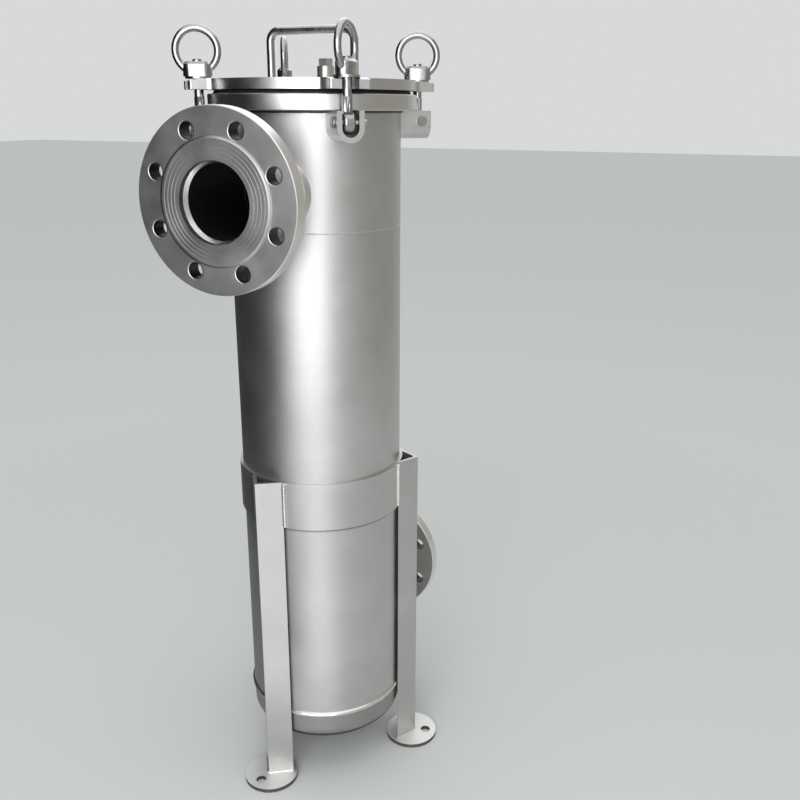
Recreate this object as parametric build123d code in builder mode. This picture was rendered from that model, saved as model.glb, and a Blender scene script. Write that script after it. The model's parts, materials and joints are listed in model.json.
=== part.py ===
"""Bag filter housing: a DN80 in-line vessel with a swing-bolt lid, basket and filter bag.

Millimetres, +Z up. The origin is on the floor, at the centre of the three foot bolt holes.
The vessel axis is Z, the inlet flange faces -Y and the outlet flange faces +Y.
Azimuths are in degrees about Z, 0 at the inlet (-Y) and rising towards +X.
"""
from build123d import *
from math import atan2, cos, degrees, radians, sin, sqrt
import os

# ---------------------------------------------------------------- driving dimensions
# vessel
shell_r = 219.1 / 2
shell_wall = 3.0
head_weld_z = 105.0  # lower edge of the straight shell
seat_weld_z = 782.0  # joint of the lower and upper shell courses
head_straight = 25.0
head_knuckle_r = 22.0
head_crown_r = 219.0
weld_bead = 3.0  # how far the head's weld bead stands proud
weld_bead_half = 3.4  # half the bead's height
edge_chamfer = 1.0

# closure
ring_bottom_z = 921.0
ring_top_z = 939.5
ring_r = 129.0
ring_recess = 3.0  # the shell stops this far below the ring's top face
seal_gap = 4.5
seal_r = 117.5
seal_cord_r = 4.6
seal_groove_w = 10.0
seal_groove_depth = 4.0
seat_chamfer = 1.5
lid_thickness = 12.0
ear_width = 47.0
ear_slot = 20.0
ear_root_r = 110.0
ear_tip_r = 154.0
ear_root_fillet = 9.0
ear_tip_fillet = 2.0
ear_relief = 2.3  # the ear's top falls this much from the bolt axis to the tip
bolt_circle_r = 140.0
bolt_azimuths = (44, 134, 224, 314)
nut_turns = (94, 28, 118, 28)  # where each eye nut faces when it is tight

# swing bolts
pivot_z = 908.4
bolt_r = 6.0
bolt_eye_r = 12.5
bolt_eye_width = 14.0
bolt_end_z = 978.0
bolt_end_chamfer = 1.2
bolt_eye_fillet = 3.5
running = 0.05  # radial clearance of a running fit
pin_r = 4.0
pin_head_r = 6.5
pin_head = 3.0
pin_tail = 6.0
pin_chamfer = 0.8
clip_wall = 1.2
lug_wall = 6.0
lug_gap = 20.0
lug_bend_z = 902.5
lug_tip_r = 153.0
washer_r = 15.0
washer_thickness = 2.5
washer_play = 0.5
nut_boss_length = 34.0  # in the plane of the eye
nut_boss_width = 20.0
nut_boss = 16.5
nut_boss_chamfer = 3.0
eye_ring_r = 23.25
eye_wire_r = 6.25
eye_centre_above_seat = 29.0

# lid fittings
handle_r = 5.0
handle_half = 58.0
handle_z = 1014.5
handle_bend = 13.0
vent_y = 36.0
vent_r = 11.0
vent_height = 18.0
vent_bore_r = 6.6
plug_flats = 17.0
plug_head = 9.0
vent_thread = 12.0

# legs and feet
leg_azimuths = (-12, 108, 228)
leg_size = 36.0
leg_wall = 4.0
leg_corner_r = 136.5
leg_corner_fillet = 1.5
leg_weld_r = 3.2
leg_weld_turn = 1.0  # azimuth from the toe's edge to the middle of its weld
band_bottom_z = 396.0
band_top_z = 461.0
band_wall = 4.0
foot_r = 38.0
foot_thickness = 6.0
foot_centre_r = 130.0
foot_hole_pcr = 152.0
foot_hole_r = 7.0

# nozzles: DN80 pipe with slip-on flanges
pipe_r = 88.9 / 2
pipe_wall = 3.0
inlet_z = 827.0
inlet_face = 226.0
outlet_z = 214.0
outlet_face = 206.0
flange_r = 100.0
flange_thickness = 20.0
raised_face_r = 69.0
raised_face = 2.0
pipe_setback = 12.0  # pipe end behind the flange face
inner_weld = 5.0  # length of the weld between the pipe's end and the flange's bore
back_weld = 5.0
saddle_weld = 3.5
flange_pcr = 80.0
flange_hole_r = 9.0
flange_holes = 8
groove_radii = (50.0, 54.5, 59.0, 63.5)
groove_depth = 0.6

# drain
drain_r = 13.5
drain_height = 18.0
drain_sink = 4.0  # overlap with the crown, cut to its curve
drain_bore_r = 9.0
drain_thread = 11.0

# seat, basket and bag
seat_bore_r = 92.0
seat_thickness = 10.0
basket_r = 89.0
basket_wall = 1.5
basket_bottom_z = 150.0
basket_rim_r = 104.0
basket_rim = 4.0
basket_hole_r = 10.0
basket_rows = 8
basket_columns = 8
basket_base_holes = 8
bail_wire_r = 3.0
bail_r = 98.5
bail_ear_x = 93.0
bail_ear_wall = 2.0
bail_ear_width = 14.0
bail_ear_height = 10.0
bag_r = 84.0
bag_wall = 2.0
bag_bottom_z = 158.0
bag_collar_r = 90.5
bag_collar_bore_r = 80.0
bag_collar = 5.0

shell_bore_r = shell_r - shell_wall
lid_bottom_z = ring_top_z + seal_gap
lid_top_z = lid_bottom_z + lid_thickness
nut_seat_z = lid_top_z + washer_thickness
band_r = shell_r + band_wall

os.makedirs("parts", exist_ok=True)


# ---------------------------------------------------------------- helpers
def radial(azimuth):
    """Unit vector pointing out from the axis at an azimuth."""
    return Vector(sin(radians(azimuth)), -cos(radians(azimuth)), 0)


def tangent(azimuth):
    """Unit vector square to radial(azimuth), towards rising azimuth."""
    return Vector(cos(radians(azimuth)), sin(radians(azimuth)), 0)


def facing_plane(azimuth, radius, height):
    """Plane seen from outside: x along the tangent, y up, normal outwards."""
    origin = radial(azimuth) * radius + Vector(0, 0, height)
    return Plane(origin=origin, x_dir=tangent(azimuth), z_dir=radial(azimuth))


def side_plane(azimuth, radius, height):
    """Upright plane through the axis: x outwards, y up."""
    origin = radial(azimuth) * radius + Vector(0, 0, height)
    return Plane(origin=origin, x_dir=radial(azimuth), z_dir=tangent(azimuth) * -1)


def flat_plane(azimuth, radius, height):
    """Level plane at a point: x outwards, normal up."""
    origin = radial(azimuth) * radius + Vector(0, 0, height)
    return Plane(origin=origin, x_dir=radial(azimuth), z_dir=(0, 0, 1))


def axis_distance(edge):
    """Distance of an edge's middle from the vessel axis."""
    return Vector(edge.center().X, edge.center().Y, 0).length


def save(item, name):
    """Label a finished piece and write its STEP file."""
    item.part.label = name
    export_step(item.part, f"parts/{name}.step")


# ---------------------------------------------------------------- vessel
# Both shell courses are rolled tube; each has the hole of its nozzle.
with BuildPart() as lower_shell:
    with BuildSketch(Plane.XY.offset(head_weld_z)):
        Circle(shell_r)
        Circle(shell_bore_r, mode=Mode.SUBTRACT)
    extrude(amount=seat_weld_z - head_weld_z)
    with BuildSketch(facing_plane(180, 0, outlet_z)):
        Circle(pipe_r - pipe_wall)
    extrude(amount=2 * shell_r, mode=Mode.SUBTRACT)
save(lower_shell, "lower_shell")

with BuildPart() as upper_shell:
    with BuildSketch(Plane.XY.offset(seat_weld_z)):
        Circle(shell_r)
        Circle(shell_bore_r, mode=Mode.SUBTRACT)
    extrude(amount=ring_top_z - ring_recess - seat_weld_z)
    with BuildSketch(facing_plane(0, 0, inlet_z)):
        Circle(pipe_r - pipe_wall)
    extrude(amount=2 * shell_r, mode=Mode.SUBTRACT)
save(upper_shell, "upper_shell")

# Torispherical head: straight flange, tight knuckle, then a wide crown with the drain hole.
knuckle_z = head_weld_z - head_straight
knuckle_centre_r = shell_r - head_knuckle_r
crown_centre_z = knuckle_z + sqrt((head_crown_r - head_knuckle_r) ** 2 - knuckle_centre_r ** 2)
crown_bottom_z = crown_centre_z - head_crown_r
knuckle_share = head_crown_r / (head_crown_r - head_knuckle_r)
knuckle_end_r = knuckle_centre_r * knuckle_share
knuckle_end_z = crown_centre_z - (crown_centre_z - knuckle_z) * knuckle_share


def head_profile(inset):
    """Draw the outline of the head from its axis to its rim, moved inwards by inset."""
    crown_r = head_crown_r - inset
    end_r = knuckle_end_r * crown_r / head_crown_r
    end_z = crown_centre_z - (crown_centre_z - knuckle_end_z) * crown_r / head_crown_r
    rim_r = shell_r - inset
    bottom_z = crown_centre_z - crown_r
    RadiusArc((0, bottom_z), (end_r, end_z), -crown_r)
    RadiusArc((end_r, end_z), (rim_r, knuckle_z), inset - head_knuckle_r)
    Polyline((rim_r, knuckle_z), (rim_r, head_weld_z), (0, head_weld_z), (0, bottom_z))


with BuildPart() as bottom_head:
    with BuildSketch(Plane.XZ):
        with BuildLine():
            head_profile(0)
        make_face()
        with BuildLine():
            head_profile(shell_wall)
        make_face(mode=Mode.SUBTRACT)
    revolve(axis=Axis.Z)
    Cylinder(drain_bore_r, 2 * head_weld_z, mode=Mode.SUBTRACT)
save(bottom_head, "bottom_head")

# The proud bead where the head meets the shell.
with BuildPart() as head_weld:
    with BuildSketch(Plane.XZ):
        with Locations((shell_r, head_weld_z)):
            Ellipse(weld_bead, weld_bead_half)
        with Locations((shell_r / 2, head_weld_z)):
            Rectangle(shell_r, 3 * weld_bead_half, mode=Mode.SUBTRACT)
    revolve(axis=Axis.Z)
save(head_weld, "head_weld")

# Seat for the basket, welded inside the joint of the two courses.
with BuildPart() as seat_ring:
    with BuildSketch(Plane.XY.offset(seat_weld_z - seat_thickness)):
        Circle(shell_bore_r)
        Circle(seat_bore_r, mode=Mode.SUBTRACT)
    extrude(amount=seat_thickness)
    bore_rims = seat_ring.edges().filter_by(GeomType.CIRCLE).group_by(SortBy.RADIUS)[0]
    chamfer(bore_rims, length=seat_chamfer)
save(seat_ring, "seat_ring")

# Body ring with the seal groove; the shell runs up inside it.
with BuildPart() as body_ring:
    with BuildSketch(Plane.XY.offset(ring_bottom_z)):
        Circle(ring_r)
        Circle(shell_r, mode=Mode.SUBTRACT)
    extrude(amount=ring_top_z - ring_bottom_z)
    with BuildSketch(Plane.XY.offset(ring_top_z)):
        Circle(seal_r + seal_groove_w / 2)
        Circle(seal_r - seal_groove_w / 2, mode=Mode.SUBTRACT)
    extrude(amount=-seal_groove_depth, mode=Mode.SUBTRACT)
    outer_rims = body_ring.edges().filter_by(GeomType.CIRCLE).group_by(SortBy.RADIUS)[-1]
    chamfer(outer_rims, length=edge_chamfer)
save(body_ring, "body_ring")

# Seal cord, squeezed flat where the groove floor and the lid press on it.
with BuildPart() as lid_seal:
    with BuildSketch(Plane.XZ):
        with Locations((seal_r, lid_bottom_z - (seal_gap + seal_groove_depth) / 2)):
            Circle(seal_cord_r)
            Rectangle(3 * seal_cord_r, seal_gap + seal_groove_depth, mode=Mode.INTERSECT)
    revolve(axis=Axis.Z)
save(lid_seal, "lid_seal")

# ---------------------------------------------------------------- legs and feet
with BuildPart() as leg_band:
    with BuildSketch(Plane.XY.offset(band_bottom_z)):
        Circle(band_r)
        Circle(shell_r, mode=Mode.SUBTRACT)
    extrude(amount=band_top_z - band_bottom_z)
save(leg_band, "leg_band")

# Each leg is an equal angle with its corner outwards; the toes are ground to sit on the band.
toe = leg_size / sqrt(2)
half_web = leg_wall / sqrt(2)
toe_azimuth = degrees(atan2(toe, leg_corner_r - toe))


def angle_profile(toe_reach):
    """Draw an equal angle with its corner at the origin and its toes at x = -toe_reach."""
    Polyline(
        (0, 0), (-toe_reach, toe_reach), (-toe_reach - half_web, toe_reach - half_web), (-2 * half_web, 0),
        (-toe_reach - half_web, half_web - toe_reach), (-toe_reach, -toe_reach), close=True,
    )


for number, azimuth in enumerate(leg_azimuths, start=1):
    with BuildPart() as leg:
        with BuildSketch(flat_plane(azimuth, leg_corner_r, foot_thickness)):
            with BuildLine():
                angle_profile(toe)
            make_face()
        extrude(amount=band_top_z - foot_thickness)
        Cylinder(band_r, 2 * band_top_z, mode=Mode.SUBTRACT)
        root_line = leg.edges().filter_by(Axis.Z).sort_by_distance(
            radial(azimuth) * (leg_corner_r - 2 * half_web) + Vector(0, 0, band_top_z / 2))[0]
        fillet(root_line, radius=leg_wall)
        corner_line = leg.edges().filter_by(Axis.Z).sort_by_distance(
            radial(azimuth) * leg_corner_r + Vector(0, 0, band_top_z / 2))[0]
        fillet(corner_line, radius=leg_corner_fillet)
    save(leg, f"leg_{number}")

    with BuildPart() as foot:
        with BuildSketch(flat_plane(azimuth, foot_centre_r, 0)):
            Circle(foot_r)
            with Locations((foot_hole_pcr - foot_centre_r, 0)):
                Circle(foot_hole_r, mode=Mode.SUBTRACT)
        extrude(amount=foot_thickness)
    save(foot, f"foot_{number}")

# Fillet welds that fill the corner between each leg toe and the band.
with BuildPart() as leg_welds:
    for azimuth in leg_azimuths:
        for side in (-1, 1):
            weld_azimuth = azimuth + side * (toe_azimuth + leg_weld_turn)
            with BuildSketch(flat_plane(weld_azimuth, band_r, band_bottom_z)):
                Circle(leg_weld_r)
            extrude(amount=band_top_z - band_bottom_z)
    Cylinder(band_r, 2 * band_top_z, mode=Mode.SUBTRACT)
    for azimuth in leg_azimuths:
        with BuildSketch(flat_plane(azimuth, leg_corner_r, foot_thickness)):
            with BuildLine():
                angle_profile(2 * toe)
            make_face()
        extrude(amount=band_top_z, mode=Mode.SUBTRACT)
save(leg_welds, "leg_welds")


# ---------------------------------------------------------------- nozzles
def make_nozzle(name, azimuth, height, face):
    """One nozzle: pipe stub, slip-on flange and the fillet welds that join them."""
    back = face - flange_thickness
    with BuildPart() as neck:
        with BuildSketch(facing_plane(azimuth, 0, height)):
            Circle(pipe_r)
            Circle(pipe_r - pipe_wall, mode=Mode.SUBTRACT)
        extrude(amount=face - pipe_setback)
        Cylinder(shell_r, 2 * ring_top_z, mode=Mode.SUBTRACT)
    save(neck, f"{name}_neck")

    with BuildPart() as flange:
        with BuildSketch(facing_plane(azimuth, back, height)):
            Circle(flange_r)
            Circle(pipe_r, mode=Mode.SUBTRACT)
            with PolarLocations(flange_pcr, flange_holes, start_angle=180 / flange_holes):
                Circle(flange_hole_r, mode=Mode.SUBTRACT)
        extrude(amount=flange_thickness - raised_face)
        rims = flange.edges().filter_by(GeomType.CIRCLE).group_by(SortBy.RADIUS)[-1]
        chamfer(rims, length=edge_chamfer)
        with BuildSketch(facing_plane(azimuth, face - raised_face, height)):
            Circle(raised_face_r)
            Circle(pipe_r, mode=Mode.SUBTRACT)
        extrude(amount=raised_face)
        for radius in groove_radii:
            with BuildSketch(facing_plane(azimuth, face, height)):
                Circle(radius + groove_depth)
                Circle(radius - groove_depth, mode=Mode.SUBTRACT)
            extrude(amount=-groove_depth, mode=Mode.SUBTRACT)
    save(flange, f"{name}_flange")

    # A fillet behind the flange, one inside it on the pipe's end, and a collar on the saddle.
    pipe_end = flange_thickness - pipe_setback
    with BuildPart() as welds:
        with BuildSketch(side_plane(azimuth, back, height)):
            with BuildLine():
                Polyline((0, pipe_r), (0, pipe_r + back_weld), (-back_weld, pipe_r), close=True)
            make_face()
            with BuildLine():
                Polyline((pipe_end, pipe_r - pipe_wall), (pipe_end, pipe_r),
                         (pipe_end + inner_weld, pipe_r), close=True)
            make_face()
        revolve(axis=Axis((0, 0, height), tuple(radial(azimuth))))
        with BuildSketch(facing_plane(azimuth, 0, height)):
            Circle(pipe_r + saddle_weld)
            Circle(pipe_r, mode=Mode.SUBTRACT)
        extrude(amount=shell_r + saddle_weld)
        Cylinder(shell_r, 2 * ring_top_z, mode=Mode.SUBTRACT)
    save(welds, f"{name}_welds")


make_nozzle("inlet", 0, inlet_z, inlet_face)
make_nozzle("outlet", 180, outlet_z, outlet_face)

# ---------------------------------------------------------------- drain
drain_mouth_z = crown_bottom_z - drain_height + drain_sink
with BuildPart() as drain_socket:
    with BuildSketch(Plane.XY.offset(drain_mouth_z)):
        Circle(drain_r)
    extrude(amount=drain_height)
    with BuildSketch(Plane.XZ):
        with BuildLine():
            head_profile(0)
        make_face()
    revolve(axis=Axis.Z, mode=Mode.SUBTRACT)
    Cylinder(drain_bore_r, 2 * head_weld_z, mode=Mode.SUBTRACT)
save(drain_socket, "drain_socket")

with BuildPart() as drain_plug:
    with BuildSketch(Plane.XY.offset(drain_mouth_z)):
        RegularPolygon(radius=plug_flats / 2, side_count=6, major_radius=False)
    extrude(amount=-plug_head)
    with BuildSketch(Plane.XY.offset(drain_mouth_z)):
        Circle(drain_bore_r - running)
    extrude(amount=drain_thread)
save(drain_plug, "drain_plug")

# ---------------------------------------------------------------- lid
with BuildPart() as lid_plate:
    with BuildSketch(Plane.XY.offset(lid_bottom_z)):
        Circle(ring_r)
        with PolarLocations((ear_root_r + ear_tip_r) / 2, len(bolt_azimuths), start_angle=bolt_azimuths[0]):
            Rectangle(ear_tip_r - ear_root_r, ear_width)
    extrude(amount=lid_thickness)
    upright_edges = lid_plate.edges().filter_by(Axis.Z)
    root_edges = upright_edges.filter_by(lambda e: abs(axis_distance(e) - ring_r) < edge_chamfer)
    fillet(root_edges, radius=ear_root_fillet)
    fillet(upright_edges.filter_by(lambda e: axis_distance(e) > ear_tip_r), radius=ear_tip_fillet)
    with BuildSketch(Plane.XY.offset(lid_bottom_z)):
        with PolarLocations(bolt_circle_r, len(bolt_azimuths), start_angle=bolt_azimuths[0]):
            Circle(ear_slot / 2)
        with PolarLocations(bolt_circle_r + ear_slot, len(bolt_azimuths), start_angle=bolt_azimuths[0]):
            Rectangle(2 * ear_slot, ear_slot)
    extrude(amount=lid_thickness, mode=Mode.SUBTRACT)
    for azimuth in bolt_azimuths:
        with BuildSketch(side_plane(azimuth, bolt_circle_r, lid_top_z)):
            with BuildLine():
                reach = 2 * (ear_tip_r - bolt_circle_r)
                Polyline((0, 0), (reach, -2 * ear_relief), (reach, ear_relief), (0, ear_relief), close=True)
            make_face()
        extrude(amount=ear_width, both=True, mode=Mode.SUBTRACT)
    with BuildSketch(Plane.XY.offset(lid_bottom_z)):
        with Locations((0, vent_y)):
            Circle(vent_bore_r)
    extrude(amount=lid_thickness, mode=Mode.SUBTRACT)
save(lid_plate, "lid_plate")

# Bent round bar welded upright on the lid.
with BuildPart() as lid_handle:
    with BuildLine() as handle_path:
        FilletPolyline(
            (-handle_half, 0, lid_top_z), (-handle_half, 0, handle_z),
            (handle_half, 0, handle_z), (handle_half, 0, lid_top_z), radius=handle_bend,
        )
    with BuildSketch(Plane(origin=(-handle_half, 0, lid_top_z), z_dir=(0, 0, 1))):
        Circle(handle_r)
    sweep()
save(lid_handle, "lid_handle")

with BuildPart() as vent_socket:
    with BuildSketch(Plane.XY.offset(lid_top_z)):
        with Locations((0, vent_y)):
            Circle(vent_r)
            Circle(vent_bore_r, mode=Mode.SUBTRACT)
    extrude(amount=vent_height)
save(vent_socket, "vent_socket")

vent_mouth_z = lid_top_z + vent_height
with BuildPart() as vent_plug:
    with BuildSketch(Plane.XY.offset(vent_mouth_z)):
        with Locations((0, vent_y)):
            RegularPolygon(radius=plug_flats / 2, side_count=6, major_radius=False)
    extrude(amount=plug_head)
    with BuildSketch(Plane.XY.offset(vent_mouth_z)):
        with Locations((0, vent_y)):
            Circle(vent_bore_r - running)
    extrude(amount=-vent_thread)
save(vent_plug, "vent_plug")

# ---------------------------------------------------------------- swing bolt closures
lug_inner = lug_gap / 2
lug_outer = lug_inner + lug_wall
lug_root_r = shell_r - lug_wall
for number, azimuth in enumerate(bolt_azimuths, start=1):
    # Bent strap lug: a U hung under the body ring, square to the shell.
    with BuildPart() as lug:
        with BuildSketch(facing_plane(azimuth, lug_root_r, 0)):
            with BuildLine():
                Polyline((-lug_outer, lug_bend_z), (-lug_outer, ring_bottom_z),
                         (lug_outer, ring_bottom_z), (lug_outer, lug_bend_z))
                RadiusArc((lug_outer, lug_bend_z), (-lug_outer, lug_bend_z), lug_outer)
            make_face()
            with BuildLine():
                Polyline((-lug_inner, lug_bend_z), (-lug_inner, ring_top_z),
                         (lug_inner, ring_top_z), (lug_inner, lug_bend_z))
                RadiusArc((lug_inner, lug_bend_z), (-lug_inner, lug_bend_z), lug_inner)
            make_face(mode=Mode.SUBTRACT)
        extrude(amount=lug_tip_r - lug_root_r)
        Cylinder(shell_r, 2 * ring_top_z, mode=Mode.SUBTRACT)
        with BuildSketch(side_plane(azimuth, bolt_circle_r, pivot_z)):
            Circle(pin_r)
        extrude(amount=lug_gap, both=True, mode=Mode.SUBTRACT)
    save(lug, f"bolt_lug_{number}")

    # Headed pin, with its head on the left of the lug and a spring clip on its tail.
    pin_axis = side_plane(azimuth, bolt_circle_r, pivot_z)
    with BuildPart() as pin:
        with BuildSketch(pin_axis.offset(lug_outer)):
            Circle(pin_head_r)
        extrude(amount=pin_head)
        with BuildSketch(pin_axis.offset(lug_outer)):
            Circle(pin_r)
        extrude(amount=-2 * lug_outer - pin_tail)
        chamfer(pin.edges().filter_by(GeomType.CIRCLE).group_by(SortBy.RADIUS)[-1], length=pin_chamfer)
    save(pin, f"pivot_pin_{number}")

    with BuildPart() as bolt:
        with BuildSketch(side_plane(azimuth, bolt_circle_r, pivot_z)):
            Circle(bolt_eye_r)
        extrude(amount=bolt_eye_width / 2, both=True)
        fillet(bolt.edges().filter_by(GeomType.CIRCLE), radius=bolt_eye_fillet)
        with BuildSketch(flat_plane(azimuth, bolt_circle_r, pivot_z)):
            Circle(bolt_r)
        extrude(amount=bolt_end_z - pivot_z)
        chamfer(bolt.edges().filter_by(GeomType.CIRCLE).sort_by(Axis.Z)[-1], length=bolt_end_chamfer)
        with BuildSketch(side_plane(azimuth, bolt_circle_r, pivot_z)):
            Circle(pin_r + running)
        extrude(amount=bolt_eye_width, both=True, mode=Mode.SUBTRACT)
    save(bolt, f"swing_bolt_{number}")

    with BuildPart() as washer:
        with BuildSketch(flat_plane(azimuth, bolt_circle_r, lid_top_z)):
            Circle(washer_r)
            Circle(bolt_r + washer_play, mode=Mode.SUBTRACT)
        extrude(amount=washer_thickness)
    save(washer, f"washer_{number}")

    # Eye nut: a forged ring on a flat-sided boss, bored through for the bolt.
    facing = nut_turns[number - 1]
    nut_seat = radial(azimuth) * bolt_circle_r + Vector(0, 0, nut_seat_z)
    eye_centre = nut_seat + Vector(0, 0, eye_centre_above_seat)
    with BuildPart() as nut:
        with BuildSketch(Plane(origin=nut_seat, x_dir=tangent(facing), z_dir=(0, 0, 1))):
            SlotOverall(nut_boss_length, nut_boss_width)
        extrude(amount=nut_boss)
        chamfer(nut.edges().group_by(Axis.Z)[-1], length=nut_boss_chamfer)
        with BuildSketch(Plane(origin=eye_centre, x_dir=tangent(facing), z_dir=(0, 0, 1))):
            with Locations((eye_ring_r, 0)):
                Circle(eye_wire_r)
        revolve(axis=Axis(tuple(eye_centre), tuple(radial(facing))))
        with BuildSketch(Plane(origin=nut_seat, z_dir=(0, 0, 1))):
            Circle(nut_boss_length)
        extrude(amount=-2 * eye_wire_r, mode=Mode.SUBTRACT)
        with BuildSketch(Plane(origin=nut_seat, z_dir=(0, 0, 1))):
            Circle(bolt_r + running)
        extrude(amount=eye_centre_above_seat, mode=Mode.SUBTRACT)
    save(nut, f"eye_nut_{number}")

with BuildPart() as pin_clips:
    for azimuth in bolt_azimuths:
        with BuildSketch(side_plane(azimuth, bolt_circle_r, pivot_z).offset(-lug_outer)):
            Circle(pin_head_r)
            Circle(pin_r, mode=Mode.SUBTRACT)
        extrude(amount=-clip_wall)
save(pin_clips, "pin_clips")

# ---------------------------------------------------------------- basket and bag
rim_top_z = seat_weld_z + basket_rim
with BuildPart() as rim_ring:
    with BuildSketch(Plane.XY.offset(seat_weld_z)):
        Circle(basket_rim_r)
        Circle(basket_r, mode=Mode.SUBTRACT)
    extrude(amount=basket_rim)
save(rim_ring, "basket_rim")

# Perforated restrainer tube: staggered rows of round holes.
with BuildPart() as basket_tube:
    with BuildSketch(Plane.XY.offset(basket_bottom_z)):
        Circle(basket_r)
        Circle(basket_r - basket_wall, mode=Mode.SUBTRACT)
    extrude(amount=rim_top_z - basket_bottom_z)
    row_pitch = (seat_weld_z - basket_bottom_z) / (basket_rows + 1)
    for row in range(basket_rows):
        height = basket_bottom_z + row_pitch * (row + 1)
        for column in range(basket_columns):
            turn = 360 / basket_columns * (column + (row % 2) / 2)
            with BuildSketch(facing_plane(turn, basket_r / 2, height)):
                Circle(basket_hole_r)
            extrude(amount=basket_r, mode=Mode.SUBTRACT)
save(basket_tube, "basket_tube")

with BuildPart() as basket_base:
    with BuildSketch(Plane.XY.offset(basket_bottom_z)):
        Circle(basket_r - basket_wall)
        with PolarLocations(basket_r / 2, basket_base_holes):
            Circle(basket_hole_r, mode=Mode.SUBTRACT)
    extrude(amount=basket_wall)
save(basket_base, "basket_base")

# Two ears on the rim carry the bail, a wire loop that lies folded down on the rim.
bail_z = rim_top_z + bail_wire_r
with BuildPart() as bail_ears:
    for side in (-1, 1):
        with BuildSketch(Plane.YZ.offset(side * bail_ear_x)):
            with Locations((0, rim_top_z + bail_ear_height / 2)):
                Rectangle(bail_ear_width, bail_ear_height)
            with Locations((0, bail_z)):
                Circle(bail_wire_r + running, mode=Mode.SUBTRACT)
        extrude(amount=bail_ear_wall / 2, both=True)
save(bail_ears, "bail_ears")

with BuildPart() as bail:
    with BuildSketch(Plane.XZ):
        with Locations((bail_r, bail_z)):
            Circle(bail_wire_r)
    revolve(axis=Axis.Z, revolution_arc=180)
    for side in (-1, 1):
        with BuildSketch(Plane.YZ.offset(side * (bail_ear_x - bail_ear_wall))):
            with Locations((0, bail_z)):
                Circle(bail_wire_r)
        extrude(amount=side * (bail_r - bail_ear_x + bail_ear_wall))
        with Locations((side * bail_r, 0, bail_z)):
            Sphere(bail_wire_r)
save(bail, "basket_bail")

# ---------------------------------------------------------------- filter bag
with BuildPart() as bag_ring:
    with BuildSketch(Plane.XY.offset(rim_top_z)):
        Circle(bag_collar_r)
        Circle(bag_collar_bore_r, mode=Mode.SUBTRACT)
    extrude(amount=bag_collar)
save(bag_ring, "bag_ring")

with BuildPart() as filter_bag:
    with BuildSketch(Plane.XY.offset(bag_bottom_z)):
        Circle(bag_r)
    extrude(amount=rim_top_z - bag_bottom_z)
    with BuildSketch(Plane.XY.offset(bag_bottom_z + bag_wall)):
        Circle(bag_r - bag_wall)
    extrude(amount=rim_top_z - bag_bottom_z, mode=Mode.SUBTRACT)
save(filter_bag, "filter_bag")
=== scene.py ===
"""Stainless steel bag filter housing: the finish of every surface, the rippled weld beads, the bolt
threads, the forged eye nuts and the felt bag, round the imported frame. Metres, +Z up, inlet at -Y."""
import json
import math

import bmesh
import bpy
from mathutils import Matrix, Vector


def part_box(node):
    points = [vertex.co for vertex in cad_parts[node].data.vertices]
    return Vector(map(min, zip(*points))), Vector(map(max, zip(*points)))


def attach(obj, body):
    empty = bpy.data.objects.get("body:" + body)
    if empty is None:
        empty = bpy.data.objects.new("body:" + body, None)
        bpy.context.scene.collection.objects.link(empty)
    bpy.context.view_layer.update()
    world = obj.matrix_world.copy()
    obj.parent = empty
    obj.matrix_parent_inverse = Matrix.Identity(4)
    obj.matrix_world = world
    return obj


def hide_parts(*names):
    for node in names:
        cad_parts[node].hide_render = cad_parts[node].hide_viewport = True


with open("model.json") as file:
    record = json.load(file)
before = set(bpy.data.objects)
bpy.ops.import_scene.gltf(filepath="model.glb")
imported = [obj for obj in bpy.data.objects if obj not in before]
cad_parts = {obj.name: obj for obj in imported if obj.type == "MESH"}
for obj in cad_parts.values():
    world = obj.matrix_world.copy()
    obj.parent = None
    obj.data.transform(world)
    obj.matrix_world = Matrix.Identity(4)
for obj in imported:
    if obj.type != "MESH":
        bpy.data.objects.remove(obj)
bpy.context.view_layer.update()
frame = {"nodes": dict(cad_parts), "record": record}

MM = 0.001

# ---------------------------------------------------------------- measures read from the frame
nodes = frame["nodes"]
shell_low, shell_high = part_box("lower_shell")
shell_r = shell_high.x
seam_z = shell_high.z
band_low, band_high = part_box("leg_band")
ring_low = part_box("body_ring")[0]
lid_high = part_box("lid_plate")[1]
foot_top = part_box("foot_1")[1].z
inlet_low, inlet_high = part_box("inlet_flange")
outlet_low, outlet_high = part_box("outlet_flange")
inlet_centre = (0, inlet_low.y, (inlet_low.z + inlet_high.z) / 2)
outlet_centre = (0, outlet_high.y, (outlet_low.z + outlet_high.z) / 2)
pipe_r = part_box("inlet_neck")[1].x
flange_r = inlet_high.x
handle_low, handle_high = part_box("lid_handle")
vent_low, vent_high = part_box("vent_socket")
bolt_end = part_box("swing_bolt_1")[1].z
nut_seat_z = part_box("washer_1")[1].z
bag_low, bag_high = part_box("filter_bag")
bag_r = bag_high.x
bag_length = bag_high.z - bag_low.z

# ---------------------------------------------------------------- measures of the part's own values
band_wall = 4 * MM
band_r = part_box("bottom_head")[1].x + band_wall
half_wall = 1.5 * MM  # nearer the axis than this, a tube's steel is its inside
hole_circle_r = 80 * MM
hole_r = 9 * MM
hole_count = 8
raised_face_r = 69 * MM
leg_azimuths = (-12, 108, 228)
leg_corner_r = 136.5 * MM
leg_size = 36 * MM
bolt_azimuths = (44, 134, 224, 314)
bolt_circle_r = 140 * MM
bolt_r = 6 * MM
thread_low = 936 * MM
nut_turns = (94, 28, 118, 28)
boss_length = 34 * MM
boss_width = 20 * MM
boss_height = 16.5 * MM
boss_chamfer = 3 * MM
eye_height = 29 * MM

MERGE = 0.01 * MM
UP = Vector((0, 0, 1))


def outward(azimuth):
    """Unit vector out from the axis; azimuth 0 is the inlet side (-Y), 90 is +X."""
    angle = math.radians(azimuth)
    return Vector((math.sin(angle), -math.cos(angle), 0))


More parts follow.
